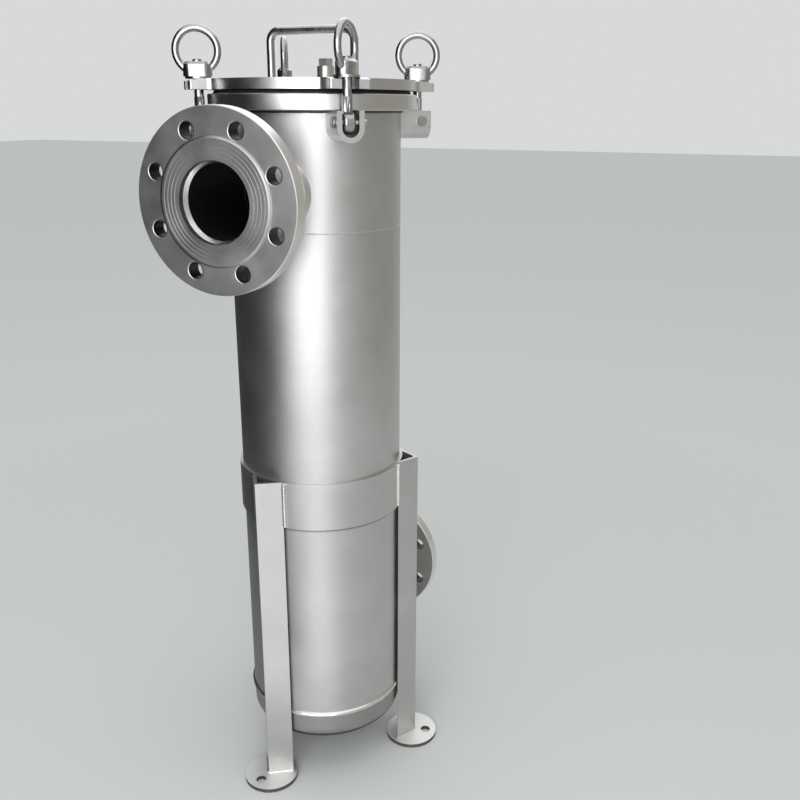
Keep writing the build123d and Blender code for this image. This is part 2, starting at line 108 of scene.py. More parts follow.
def sideways(azimuth):
    """Unit vector square to outward(azimuth), towards rising azimuth."""
    angle = math.radians(azimuth)
    return Vector((math.cos(angle), math.sin(angle), 0))


# ---------------------------------------------------------------- colours and shader nodes
def linear(hex_colour):
    """An sRGB hex colour as linear RGBA."""
    channels = [int(hex_colour[i:i + 2], 16) / 255 for i in (1, 3, 5)]
    curve = [c / 12.92 if c <= 0.04045 else ((c + 0.055) / 1.055) ** 2.4 for c in channels]
    return (*curve, 1.0)


def node(tree, kind, inputs=(), **settings):
    """Add one shader node; inputs maps a socket to a value or to another node's output."""
    made = tree.nodes.new(kind)
    for key, value in settings.items():
        setattr(made, key, value)
    for socket, value in dict(inputs).items():
        if isinstance(value, bpy.types.NodeSocket):
            tree.links.new(value, made.inputs[socket])
        else:
            made.inputs[socket].default_value = value
    return made


def workings(material):
    """A material's node tree, its Principled shader, and the Object coordinates that it reads."""
    tree = material.node_tree
    return tree, tree.nodes["Principled BSDF"], tree.nodes["Texture Coordinate"].outputs["Object"]


def mottled(name, dark, light, size, roughness, stretch=None, **surface):
    """A material whose colour and roughness drift in soft clouds, size metres across.

    surface sets the Principled shader's own sockets."""
    material = bpy.data.materials.new(name)
    material.use_nodes = True
    node(material.node_tree, "ShaderNodeTexCoord")
    tree, shader, place = workings(material)
    for socket, value in surface.items():
        shader.inputs[socket.replace("_", " ")].default_value = value
    if stretch:
        place = node(tree, "ShaderNodeMapping", {"Vector": place, "Scale": stretch}).outputs[0]
    clouds = node(tree, "ShaderNodeTexNoise", {
        "Vector": place, "Scale": 1 / size, "Detail": 5.0, "Roughness": 0.6,
    }).outputs["Fac"]
    thin, thick = 0.3, 0.7  # nearly all of the noise lies between these
    colour = node(tree, "ShaderNodeValToRGB", {"Fac": clouds})
    for element, position, tone in zip(colour.color_ramp.elements, (thin, thick), (dark, light)):
        element.position = position
        element.color = linear(tone)
    gloss = node(tree, "ShaderNodeMapRange", {
        "Value": clouds, "From Min": thin, "From Max": thick, "To Min": roughness[0], "To Max": roughness[1],
    })
    tree.links.new(colour.outputs["Color"], shader.inputs["Base Color"])
    tree.links.new(gloss.outputs["Result"], shader.inputs["Roughness"])
    return material


def from_axis(material, centre, across):
    """How far each point lies from an axis; across is 1 in the directions square to the axis."""
    tree, _, place = workings(material)
    centred = node(tree, "ShaderNodeVectorMath", {0: place, 1: tuple(centre)}, operation="SUBTRACT")
    flat = node(tree, "ShaderNodeVectorMath", {0: centred.outputs[0], 1: across}, operation="MULTIPLY")
    reach = node(tree, "ShaderNodeVectorMath", {0: flat.outputs[0]}, operation="LENGTH")
    return flat.outputs[0], reach.outputs["Value"]


# ---------------------------------------------------------------- the steels
def blasted_steel(name, centre=(0, 0, 0), across=(1, 1, 0), bore=None, tones=("#BDBCBA", "#C9C8C7"),
                  roughness=(0.40, 0.46)):
    """304 stainless, bead blasted: grey, evenly matte, with soft clouds where the nozzle passed."""
    material = mottled(name, *tones, 90 * MM, roughness, Metallic=1.0)
    tree, shader, place = workings(material)
    if bore:
        # Inside a pipe the steel is painted darker: painted shade in the bore.
        reach = from_axis(material, centre, across)[1]
        outside = node(tree, "ShaderNodeMath", {0: reach, 1: bore}, operation="GREATER_THAN")
        blasted = shader.inputs["Base Color"].links[0].from_socket
        colour = node(tree, "ShaderNodeMix", {0: outside.outputs[0], 6: linear("#5A5856"), 7: blasted},
                      data_type="RGBA")
        tree.links.new(colour.outputs[2], shader.inputs["Base Color"])
    # Bead dimples are near 0.1 mm; drawn 0.8 mm apart, the finest that shows.
    dimple = 0.8 * MM
    dimples = node(tree, "ShaderNodeTexNoise", {"Vector": place, "Scale": 1 / dimple, "Detail": 2.0})
    bump = node(tree, "ShaderNodeBump", {
        "Height": dimples.outputs["Fac"], "Strength": 0.25, "Distance": 0.05 * MM,
    })
    tree.links.new(bump.outputs["Normal"], shader.inputs["Normal"])
    return material


def shell_steel_painted_shade_under_band():
    """The lower shell: blasted, with a painted shade line close under the leg band, where the band's edge
    shades the shell.
    """
    shade_line_low = band_low.z - 5.5 * MM
    shade_line_high = band_low.z - 2 * MM
    material = blasted_steel("bead_blasted_lower_shell_painted_shade", bore=shell_r - half_wall)
    tree, shader, place = workings(material)
    height = node(tree, "ShaderNodeSeparateXYZ", {0: place}).outputs["Z"]
    # Painted shade: darkening up to 0.8 towards the band's lower edge, and only below the band's top.
    painted_shade_ramp = node(tree, "ShaderNodeMapRange", {
        "Value": height, "From Min": shade_line_low, "From Max": shade_line_high, "To Min": 0.0, "To Max": 0.8,
    })
    under_band = node(tree, "ShaderNodeMath", {0: height, 1: band_high.z}, operation="LESS_THAN")
    share = node(tree, "ShaderNodeMath", {0: painted_shade_ramp.outputs[0], 1: under_band.outputs[0]},
                 operation="MULTIPLY")
    blasted = shader.inputs["Base Color"].links[0].from_socket
    colour = node(tree, "ShaderNodeMix", {0: share.outputs[0], 6: blasted, 7: linear("#4A4947")},
                  data_type="RGBA")
    tree.links.new(colour.outputs[2], shader.inputs["Base Color"])
    return material


def foot_plate_painted_light_and_shade():
    """The feet: blasted, with painted highlight making the tops whitest, and painted shade darkening the
    sawn rim and the hole below the top.
    """
    # The whiter tones paint highlight on the tops; below the top, the rim and the hole wall are painted dark
    # as painted shade.
    material = blasted_steel("blasted_foot_plate_painted_light_and_shade", tones=("#E6E8E4", "#F2F3F0"), roughness=(0.56, 0.64))
    tree, shader, place = workings(material)
    height = node(tree, "ShaderNodeSeparateXYZ", {0: place}).outputs["Z"]
    painted_lit_top = node(tree, "ShaderNodeMath", {0: height, 1: foot_top - 0.3 * MM}, operation="GREATER_THAN")
    blasted = shader.inputs["Base Color"].links[0].from_socket
    colour = node(tree, "ShaderNodeMix", {0: painted_lit_top.outputs[0], 6: linear("#6E6D6A"), 7: blasted},
                  data_type="RGBA")
    tree.links.new(colour.outputs[2], shader.inputs["Base Color"])
    return material


def turned_steel(name, centre, axis, tones, roughness):
    """304 stainless faced on a lathe: fine rings about an axis, which catch the light."""
    material = mottled(name, *tones, 40 * MM, roughness, Metallic=1.0)
    tree, shader, place = workings(material)
    turn = UP.rotation_difference(Vector(axis)).inverted().to_euler()
    centred = node(tree, "ShaderNodeVectorMath", {0: place, 1: tuple(centre)}, operation="SUBTRACT")
    aligned = node(tree, "ShaderNodeMapping", {"Vector": centred.outputs[0], "Rotation": tuple(turn)})
    # Tool marks are 0.2 mm apart; drawn 7.5 mm apart, so that they show.
    per_radian = 1.2 * MM
    wave_radians = 20  # what the wave node turns through in a metre, at scale 1
    rings = node(tree, "ShaderNodeTexWave", {
        "Vector": aligned.outputs[0], "Scale": 1 / per_radian / wave_radians, "Distortion": 0.0,
    }, wave_type="RINGS", rings_direction="Z", wave_profile="SIN")
    bump = node(tree, "ShaderNodeBump", {
        "Height": rings.outputs["Fac"], "Strength": 0.3, "Distance": 0.03 * MM,
    })
    tree.links.new(bump.outputs["Normal"], shader.inputs["Normal"])
    return material


def flange_steel(name, centre, axis):
    """A faced flange: satin rings, a rim painted brighter as painted highlight, drilled holes painted dark
    as painted shade, and their edges broken.
    """
    material = turned_steel(name, centre, axis, ("#B5B4B2", "#C4C3C1"), (0.37, 0.45))
    tree, shader, _ = workings(material)
    flat, reach = from_axis(material, centre, (1, 0, 1))
    split = node(tree, "ShaderNodeSeparateXYZ", {0: flat})
    angle = node(tree, "ShaderNodeMath", {0: split.outputs["Z"], 1: split.outputs["X"]}, operation="ARCTAN2")
    # The holes straddle the centre lines, so the angle is folded into one half of one hole's sector.
    half_sector = math.pi / hole_count
    folded = node(tree, "ShaderNodeMath", {0: angle.outputs[0], 1: half_sector}, operation="PINGPONG")
    off_hole = node(tree, "ShaderNodeMath", {0: half_sector, 1: folded.outputs[0]}, operation="SUBTRACT")
    along = node(tree, "ShaderNodeMath", {0: off_hole.outputs[0]}, operation="COSINE")
    aside = node(tree, "ShaderNodeMath", {0: off_hole.outputs[0]}, operation="SINE")
    near = node(tree, "ShaderNodeMath", {0: reach, 1: along.outputs[0]}, operation="MULTIPLY")
    side = node(tree, "ShaderNodeMath", {0: reach, 1: aside.outputs[0]}, operation="MULTIPLY")
    past = node(tree, "ShaderNodeMath", {0: near.outputs[0], 1: hole_circle_r}, operation="SUBTRACT")
    spot = node(tree, "ShaderNodeCombineXYZ", {0: past.outputs[0], 1: side.outputs[0]})
    from_hole = node(tree, "ShaderNodeVectorMath", {0: spot.outputs[0]}, operation="LENGTH").outputs["Value"]
    # The hole walls are painted dark as painted shade, and the outer rim brighter as painted highlight.
    painted_shade_in_hole = node(tree, "ShaderNodeMath", {0: from_hole, 1: hole_r + 0.2 * MM}, operation="LESS_THAN")
    painted_highlight_rim = node(tree, "ShaderNodeMath", {0: reach, 1: flange_r - 0.7 * MM}, operation="GREATER_THAN")
    faced = shader.inputs["Base Color"].links[0].from_socket
    drilled = node(tree, "ShaderNodeMix", {0: painted_shade_in_hole.outputs[0], 6: faced, 7: linear("#3C3B3A")},
                   data_type="RGBA")
    rim_highlighted = node(tree, "ShaderNodeMix", {0: painted_highlight_rim.outputs[0], 6: drilled.outputs[2], 7: linear("#E4E3E0")},
                  data_type="RGBA")
    tree.links.new(rim_highlighted.outputs[2], shader.inputs["Base Color"])
    # The edge of each hole is broken 1.2 mm wide, and the raised face ends in a 2.5 mm bevel.
    broken = node(tree, "ShaderNodeMapRange", {
        "Value": from_hole, "From Min": hole_r, "From Max": hole_r + 1.2 * MM, "To Min": 0.0, "To Max": 1.0,
    })
    turned = shader.inputs["Normal"].links[0].from_socket
    hole_edge = node(tree, "ShaderNodeBump", {
        "Height": broken.outputs[0], "Normal": turned, "Strength": 0.8, "Distance": 1.0 * MM,
    })
    bevel = node(tree, "ShaderNodeMapRange", {
        "Value": reach, "From Min": raised_face_r - 2.2 * MM, "From Max": raised_face_r + 0.3 * MM,
        "To Min": 1.0, "To Max": 0.0,
    })
    face_edge = node(tree, "ShaderNodeBump", {
        "Height": bevel.outputs[0], "Normal": hole_edge.outputs["Normal"], "Strength": 0.9,
        "Distance": 2.4 * MM,
    })
    tree.links.new(face_edge.outputs["Normal"], shader.inputs["Normal"])
    return material


def polished_steel():
    """Stainless fittings, electropolished: bright, with a trace of the forging's skin."""
    material = mottled("electropolished_304", "#9F9E9C", "#B6B5B3", 12 * MM, (0.18, 0.30), Metallic=1.0)
    tree, shader, place = workings(material)
    skin = node(tree, "ShaderNodeTexNoise", {"Vector": place, "Scale": 1 / (5 * MM), "Detail": 3.0})
    bump = node(tree, "ShaderNodeBump", {
        "Height": skin.outputs["Fac"], "Strength": 0.2, "Distance": 0.15 * MM,
    })
    tree.links.new(bump.outputs["Normal"], shader.inputs["Normal"])
    return material


def weld_steel(name, dark, light):
    """TIG weld metal, brushed bright after welding, so lighter and glossier than the plate."""
    return mottled(name, dark, light, 18 * MM, (0.26, 0.34), Metallic=1.0)


def weld_in_painted_shade():
    """A weld painted dull and dark grey: painted shade, for the bead in the corner under the ring and the
    bead on the dark side of the first leg.
    """
    return mottled("weld_308_painted_shade", "#4E4C4A", "#62605D", 12 * MM, (0.45, 0.55), Metallic=1.0)


def rolled_sheet():
    """Cold rolled 304 sheet with its mill finish, grey and faintly streaked upwards."""
    return mottled("mill_finish_304", "#B4B3B1", "#C6C5C3", 3 * MM, (0.28, 0.38), (1.0, 1.0, 0.04),
                   Metallic=1.0)


# ---------------------------------------------------------------- rubber, plastic and felt
def rubber_cord():
    """EPDM cord: black, matte, slightly dusty."""
    return mottled("epdm_rubber", "#131313", "#1E1E1E", 8 * MM, (0.6, 0.75), IOR=1.52)


def moulded_plastic():
    """Polypropylene bag collar: white, moulded, with a soft sheen from just under its skin."""
    return mottled("moulded_polypropylene", "#E4E5E6", "#ECEDED", 30 * MM, (0.38, 0.5), IOR=1.49,
                   Subsurface_Weight=0.1, Subsurface_Radius=(2 * MM, 2 * MM, 2 * MM))


def needle_felt():
    """Needled polyester felt: off-white and fibrous, with a fuzzy edge to its sheen."""
    material = mottled("needled_polyester_felt", "#DAD7CC", "#EFEDE5", 14 * MM, (0.85, 0.95), IOR=1.5,
                       Sheen_Weight=0.35, Sheen_Roughness=0.5)
    tree, shader, place = workings(material)
    # Fibres are 0.02 mm thick; drawn 0.9 mm apart, as the tufts that the needles leave.
    tuft = 0.9 * MM
    tufts = node(tree, "ShaderNodeTexNoise", {
        "Vector": place, "Scale": 1 / tuft, "Detail": 4.0, "Roughness": 0.7,
    })
    bump = node(tree, "ShaderNodeBump", {
        "Height": tufts.outputs["Fac"], "Strength": 0.6, "Distance": 0.5 * MM,
    })
    tree.links.new(bump.outputs["Normal"], shader.inputs["Normal"])
    return material


# ---------------------------------------------------------------- finishes
fittings = polished_steel()
shaded_weld_paint = weld_in_painted_shade()
foot_light_and_shade_steel = foot_plate_painted_light_and_shade()
finishes = {
    "bead_blasted_steel": blasted_steel("bead_blasted_304", bore=shell_r - half_wall),
    "leg_steel": blasted_steel("bead_blasted_angle"),
    "turned_steel": turned_steel("turned_304", (0, 0, 0), (0, 0, 1), ("#C6C5C3", "#D4D3D1"), (0.29, 0.36)),
    "polished_steel": fittings,
    "zinc_spring_steel": fittings,
    "weld_metal": weld_steel("tig_weld_308", "#D6D4D0", "#E2E1DE"),
    "basket_steel": rolled_sheet(),
    "seal_rubber": rubber_cord(),
    "bag_collar_plastic": moulded_plastic(),
    "filter_felt": needle_felt(),
}
own_finishes = {
    # The root weld in the bore is painted near white: painted highlight where the light falls into the bore.
    "inlet_welds": weld_steel("root_weld_308_painted_highlight", "#F6F5F2", "#FCFBF8"),
    "lower_shell": shell_steel_painted_shade_under_band(),
    "inlet_flange": flange_steel("faced_inlet_flange", inlet_centre, (0, -1, 0)),
    "outlet_flange": flange_steel("faced_outlet_flange", outlet_centre, (0, 1, 0)),
    "inlet_neck": blasted_steel("blasted_inlet_pipe", inlet_centre, (1, 0, 1), pipe_r - half_wall),
    "outlet_neck": blasted_steel("blasted_outlet_pipe", outlet_centre, (1, 0, 1), pipe_r - half_wall),
    # The dished head is painted a darker grey: painted shade, as it faces the shadowed floor under the
    # vessel.
    "bottom_head": blasted_steel("blasted_head_painted_shade", bore=shell_r - half_wall,
                                 tones=("#9B9A98", "#A5A4A2")),
    "foot_1": foot_light_and_shade_steel,
    "foot_2": foot_light_and_shade_steel,
    "foot_3": foot_light_and_shade_steel,
}


def dress(item, material):
    """Give a mesh one material."""
    item.data.materials.clear()
    item.data.materials.append(material)


slot_of = {part["node"]: part["material_slot"] for part in frame["record"]["subparts"]}
for name, item in nodes.items():
    dress(item, own_finishes.get(name) or finishes[slot_of[name]])


# ---------------------------------------------------------------- modelling helpers
def deselect_all():
    """Leave nothing selected, so that the next operator acts on the new piece alone."""
    if bpy.context.object and bpy.context.object.mode != "OBJECT":
        bpy.ops.object.mode_set(mode="OBJECT")
    bpy.ops.object.select_all(action="DESELECT")


def take_up(item):
    """Make a piece the only one selected, and the active one."""
    deselect_all()
    item.select_set(True)
    bpy.context.view_layer.objects.active = item


def settle(item, name):
    """Put a piece's place into its mesh and name it."""
    take_up(item)
    bpy.ops.object.transform_apply(location=True, rotation=True, scale=True)
    item.name = name
    item.data.name = name


def hand_over(item, body, slot_name, replaced=(), material=None):
    """Finish a piece: smooth shading, the material of its slot, its body, and hiding the nodes it stands
    for.
    """
    take_up(item)
    bpy.ops.object.shade_smooth_by_angle(angle=math.radians(35))
    dress(item, material or finishes[slot_name])
    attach(item, body)
    if replaced:
        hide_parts(*replaced)


def apply_modifiers(item):
    """Apply every modifier on a piece, in order."""
    take_up(item)
    for modifier in list(item.modifiers):
        bpy.ops.object.modifier_apply(modifier=modifier.name)


def join_pieces(items, name):
    """Join several meshes into one piece."""
    deselect_all()
    for item in items:
        item.select_set(True)
    bpy.context.view_layer.objects.active = items[0]
    bpy.ops.object.join()
    joined = bpy.context.object
    joined.name = name
    joined.data.name = name
    return joined


def copy_of(item):
    """A copy of a piece with a mesh of its own."""
    twin = item.copy()
    twin.data = item.data.copy()
    bpy.context.scene.collection.objects.link(twin)
    return twin


def combine(item, other, operation):
    """Join or cut one closed piece with another, and take the other away."""
    modifier = item.modifiers.new(operation.lower(), "BOOLEAN")
    modifier.operation = operation
    modifier.solver = "EXACT"
    modifier.object = other
    apply_modifiers(item)
    bpy.data.objects.remove(other)


def select_where(item, kind, test):
    """In edit mode, select only the vertices, edges or faces that pass a test."""
    bpy.ops.mesh.select_all(action="DESELECT")
    mesh = bmesh.from_edit_mesh(item.data)
    for element in getattr(mesh, kind):
        if test(element):
            element.select = True
    # Chosen edges are left alone: flushed, they would take the edges between them along.
    if kind == "verts":
        mesh.select_flush(True)
    bmesh.update_edit_mesh(item.data)


def rise(edge):
    """How far an edge climbs."""
    return abs(edge.verts[0].co.z - edge.verts[1].co.z)


def cut_level(item, height, keep_above):
    """Cut a piece level at a height, close the cut, and keep one side."""
    bpy.ops.mesh.select_all(action="SELECT")
    bpy.ops.mesh.bisect(plane_co=(0, 0, height), plane_no=(0, 0, 1), use_fill=True,
                        clear_inner=keep_above, clear_outer=not keep_above)


# ---------------------------------------------------------------- weld beads
def ring_bead(name, centre, axis, radius, bead, ripple=2.2 * MM, dip=0.16):
    """A TIG bead round a tube: a torus with a dip, as a share of its thickness, at every ripple."""
    scales = max(8, round(2 * math.pi * radius / ripple))
    segments = 3 * scales
    deselect_all()
    bpy.ops.mesh.primitive_torus_add(
        location=centre, rotation=UP.rotation_difference(Vector(axis)).to_euler(),
        major_radius=radius, minor_radius=bead, major_segments=segments, minor_segments=10,
    )
    item = bpy.context.object
    bpy.ops.object.mode_set(mode="EDIT")
    step = 2 * math.pi / segments
    select_where(item, "verts", lambda v: round(math.atan2(v.co.y, v.co.x) / step) % 3 == 0)
    bpy.ops.transform.shrink_fatten(value=-dip * bead)
    bpy.ops.object.mode_set(mode="OBJECT")
    settle(item, name)
    return item


def straight_bead(name, start, end, bead, ripple=2.2 * MM):
    """A straight TIG bead: a rod with a dip after each drop of metal, and rounded ends."""
    start, end = Vector(start), Vector(end)
    run = end - start
    drops = max(2, round(run.length / ripple))
    third = run.length / (3 * drops)
    half = run.length / 2
    deselect_all()
    bpy.ops.mesh.primitive_cylinder_add(vertices=12, radius=bead, depth=run.length)
    item = bpy.context.object
    bpy.ops.object.mode_set(mode="EDIT")
    select_where(item, "edges", lambda e: rise(e) > bead)
    bpy.ops.mesh.subdivide(number_cuts=3 * drops - 1)
    dip_scale, end_scale = 0.88, 0.6
    select_where(item, "verts", lambda v: round((v.co.z + half) / third) % 3 == 0)
    bpy.ops.transform.resize(value=(dip_scale, dip_scale, 1), center_override=(0, 0, 0))
    select_where(item, "verts", lambda v: abs(v.co.z) > half - third / 2)
    bpy.ops.transform.resize(value=(end_scale, end_scale, 1), center_override=(0, 0, 0))
    bpy.ops.object.mode_set(mode="OBJECT")
    item.rotation_euler = UP.rotation_difference(run).to_euler()
    item.location = (start + end) / 2
    settle(item, name)
    return item


# The bead of the dished head is wide and smooth: it was laid by machine.
head_bead = ring_bead("head_weld_bead", (0, 0, shell_low.z), UP, shell_r - 0.8 * MM,
                      bead=3.8 * MM, ripple=3 * MM, dip=0.05)
hand_over(head_bead, "housing", "weld_metal", ("head_weld",))

# The joint of the two shell courses was ground nearly flush.
seam_bead = ring_bead("shell_seam_bead", (0, 0, seam_z), UP, shell_r - 1.1 * MM, bead=1.6 * MM)
hand_over(seam_bead, "housing", "bead_blasted_steel")

# The bead under the ring is painted dark: painted shade under the ring's overhang.
ring_corner_bead = ring_bead("body_ring_bead", (0, 0, ring_low.z), UP, shell_r,
                             bead=3 * MM, ripple=3 * MM, dip=0.08)
hand_over(ring_corner_bead, "housing", "weld_metal", material=shaded_weld_paint)

for side, out, back_y, centre in (
    ("inlet", (0, -1, 0), inlet_high.y, inlet_centre),
    ("outlet", (0, 1, 0), outlet_low.y, outlet_centre),
):
    back_bead = ring_bead(f"{side}_flange_weld", (0, back_y, centre[2]), out, pipe_r + 1.2 * MM,
                          bead=3.0 * MM)
    hand_over(back_bead, "housing", "weld_metal")

# An angle's two toes lie this far each side of its corner, square to and along the leg's azimuth.
toe = leg_size / math.sqrt(2)
toe_azimuth = math.degrees(math.atan2(toe, leg_corner_r - toe))


def leg_beads(name, toes, spread, bead):
    """Beads down the toes of the legs, spread degrees outside them.

    toes lists each leg's azimuth with the hand of its toe."""
    short = 1 * MM  # the beads stop this far inside the band's edges
    runs = []
    for azimuth, hand in toes:
        spot = outward(azimuth + hand * (toe_azimuth + spread)) * (band_r + 0.6 * MM)
        low = Vector((spot.x, spot.y, band_low.z + short))
        high = Vector((spot.x, spot.y, band_high.z - short))
        runs.append(straight_bead("leg_bead", low, high, bead, ripple=4.4 * MM))
    return join_pieces(runs, name)


# The first toe has a thinner bead, painted dark: painted shade on the leg's dark side.
every_toe = [(azimuth, hand) for azimuth in leg_azimuths for hand in (-1, 1)]
leg_bead = leg_beads("leg_weld_beads", every_toe[1:], spread=1.1, bead=3.2 * MM)
hand_over(leg_bead, "housing", "weld_metal", ("leg_welds",))
thin_leg_bead = leg_beads("leg_thin_bead", every_toe[:1], spread=0.5, bead=2.0 * MM)
hand_over(thin_leg_bead, "housing", "weld_metal", material=shaded_weld_paint)

foot_beads = []
for azimuth, hand in every_toe:
    corner = outward(azimuth) * leg_corner_r + Vector((0, 0, foot_top))
    edge = corner - outward(azimuth) * toe + sideways(azimuth) * hand * toe
    foot_beads.append(straight_bead("foot_bead", corner, edge, bead=1.8 * MM))
hand_over(join_pieces(foot_beads, "foot_weld_beads"), "housing", "weld_metal")

handle_r = (handle_high.y - handle_low.y) / 2
vent_centre = (vent_low + vent_high) / 2
vent_r = (vent_high.x - vent_low.x) / 2
lid_bead_size = 1.6 * MM
lid_beads = [
    ring_bead("handle_bead", (x, 0, lid_high.z), UP, handle_r, lid_bead_size, ripple=1.6 * MM)
    for x in (handle_low.x + handle_r, handle_high.x - handle_r)
]
lid_beads.append(ring_bead("vent_bead", (vent_centre.x, vent_centre.y, lid_high.z), UP, vent_r,
                           lid_bead_size, ripple=1.8 * MM))
hand_over(join_pieces(lid_beads, "lid_weld_beads"), "lid", "weld_metal")

# ---------------------------------------------------------------- swing bolt threads
pitch = 1.75 * MM
thread_depth = 1.0 * MM


def bolt_thread():
    """One coarse thread, wound from a V and trimmed to length, standing on the vessel axis."""
    deselect_all()
    bpy.ops.mesh.primitive_circle_add(vertices=4, radius=1)
    item = bpy.context.object
    bpy.ops.object.mode_set(mode="EDIT")
    select_where(item, "verts", lambda v: v.co.x < -0.5)
    bpy.ops.mesh.delete(type="VERT")
    bpy.ops.object.mode_set(mode="OBJECT")
    item.scale = (thread_depth, pitch / 2, 1)
    item.rotation_euler = (math.pi / 2, 0, 0)
    item.location = (bolt_r - thread_depth, 0, thread_low - 2 * pitch)
    settle(item, "bolt_thread")
    screw = item.modifiers.new("winding", "SCREW")
    screw.screw_offset = pitch
    # It starts two turns too low and ends three too high, and is then cut at both ends.
    screw.iterations = round((bolt_end - thread_low) / pitch) + 5
    screw.steps = screw.render_steps = 20
    screw.use_merge_vertices = True
    screw.merge_threshold = MERGE
    apply_modifiers(item)
    bpy.ops.object.mode_set(mode="EDIT")
    bpy.ops.mesh.select_all(action="SELECT")
    bpy.ops.mesh.remove_doubles(threshold=MERGE)
    cut_level(item, thread_low - 0.5 * MM, True)
    cut_level(item, bolt_end, False)
    end_scale = 0.84
    select_where(item, "verts", lambda v: v.co.z > bolt_end - MERGE)
    bpy.ops.transform.resize(value=(end_scale, end_scale, 1), center_override=(0, 0, 0))
    bpy.ops.mesh.select_all(action="SELECT")
    bpy.ops.mesh.normals_make_consistent(inside=False)
    bpy.ops.object.mode_set(mode="OBJECT")
    return item


def bolt_shank(number):
    """The plain end of a swing bolt with its eye, as far up as the thread."""
    item = bpy.data.objects.new("bolt_shank", nodes[f"swing_bolt_{number}"].data.copy())
    bpy.context.scene.collection.objects.link(item)
    take_up(item)
    bpy.ops.object.mode_set(mode="EDIT")
    bpy.ops.mesh.select_all(action="SELECT")
    bpy.ops.mesh.remove_doubles(threshold=MERGE)
    cut_level(item, thread_low, False)
    bpy.ops.object.mode_set(mode="OBJECT")
    return item


thread = bolt_thread()
for number, azimuth in enumerate(bolt_azimuths, start=1):
    wound = copy_of(thread)
    wound.location = outward(azimuth) * bolt_circle_r
    settle(wound, "wound")
    bolt = join_pieces([bolt_shank(number), wound], f"threaded_bolt_{number}")
    hand_over(bolt, f"bolt_{number}", "polished_steel", (f"swing_bolt_{number}",))
bpy.data.objects.remove(thread)

# ---------------------------------------------------------------- eye nuts
eye_r = 24.6 * MM
eye_wire_r = 4.3 * MM
thread_gap = 0.4 * MM
seat_gap = 0.05 * MM


def eye_nut():
    """One eye nut: a flat-sided boss with a chamfered top, its forged ring, and the bore."""
    deselect_all()
    bpy.ops.mesh.primitive_cylinder_add(vertices=64, radius=boss_width / 2, depth=boss_height,
                                        location=(0, 0, boss_height / 2))
    item = bpy.context.object
    settle(item, "eye_nut")
    bpy.ops.object.mode_set(mode="EDIT")
    for hand in (-1, 1):
        select_where(item, "verts", lambda v: v.co.x * hand > 0.1 * MM)
        bpy.ops.transform.translate(value=(hand * (boss_length - boss_width) / 2, 0, 0))
    select_where(item, "edges", lambda e: all(v.co.z > boss_height - 0.1 * MM for v in e.verts))
    bpy.ops.mesh.bevel(offset=boss_chamfer, segments=1, affect="EDGES")
    bpy.ops.object.mode_set(mode="OBJECT")
    deselect_all()
    bpy.ops.mesh.primitive_torus_add(
        location=(0, 0, eye_height), rotation=(math.pi / 2, 0, 0),
        major_radius=eye_r, minor_radius=eye_wire_r, major_segments=96, minor_segments=24,
    )
    ring = bpy.context.object
    settle(ring, "eye_ring")
    combine(item, ring, "UNION")
    below_seat = 1 * MM
    deselect_all()
    bpy.ops.mesh.primitive_cylinder_add(vertices=48, radius=bolt_r + thread_gap,
                                        depth=eye_height + below_seat,
                                        location=(0, 0, (eye_height - below_seat) / 2))
    bore = bpy.context.object
    settle(bore, "bore")
    combine(item, bore, "DIFFERENCE")
    return item


nut = eye_nut()
for number, (azimuth, facing) in enumerate(zip(bolt_azimuths, nut_turns), start=1):
    forged_nut = copy_of(nut)
    forged_nut.rotation_euler = (0, 0, math.radians(facing))
    forged_nut.location = outward(azimuth) * bolt_circle_r + Vector((0, 0, nut_seat_z + seat_gap))
    settle(forged_nut, f"forged_eye_nut_{number}")
    hand_over(forged_nut, f"nut_{number}", "polished_steel", (f"eye_nut_{number}",))
bpy.data.objects.remove(nut)

# ---------------------------------------------------------------- felt bag
felt = 1.6 * MM
slack = 4 * MM
fold_size = 60 * MM
# The sleeve starts slimmer and shorter than its solid, which leaves room for the folds.
slimmer = 2.2 * MM
shorter = 3 * MM


def felt_bag():
    """Sewn felt sleeve, slightly slack, with a plain flat disc sewn in as its bottom."""
    deselect_all()
    bpy.ops.mesh.primitive_cylinder_add(
        vertices=120, radius=bag_r - slimmer, depth=bag_length - shorter, end_fill_type="NGON",
        location=(0, 0, (bag_low.z + bag_high.z) / 2),
    )
    item = bpy.context.object
    bpy.ops.object.mode_set(mode="EDIT")
    select_where(item, "edges", lambda e: rise(e) > bag_length / 2)
    bpy.ops.mesh.subdivide(number_cuts=90)
    select_where(item, "faces", lambda f: f.normal.z > 0.9)
    bpy.ops.mesh.delete(type="ONLY_FACE")
    bpy.ops.object.mode_set(mode="OBJECT")
    settle(item, "felt_bag")
    crumple = bpy.data.textures.new("slack_folds", "CLOUDS")
    crumple.noise_scale = fold_size
    folds = item.modifiers.new("folds", "DISPLACE")
    folds.texture = crumple
    folds.texture_coords = "GLOBAL"
    folds.strength = slack
    folds.mid_level = 0.75
    wall = item.modifiers.new("wall", "SOLIDIFY")
    wall.thickness = felt
    wall.offset = -1
    apply_modifiers(item)
    return item


bag = felt_bag()
hand_over(bag, "bag", "filter_felt", ("filter_bag",))


# ---------------------------------------------------------------- floor
def seen_as_backdrop(tree):
    """1 for what the camera, a reflection or a view through glass sees, and 0 for what lights."""
    rays = node(tree, "ShaderNodeLightPath").outputs
    direct = node(tree, "ShaderNodeMath", {0: rays["Is Camera Ray"], 1: rays["Is Glossy Ray"]},
                  operation="ADD")
    seen = node(tree, "ShaderNodeMath", {0: direct.outputs[0], 1: rays["Is Transmission Ray"]},
                operation="ADD", use_clamp=True)
    return seen.outputs[0]


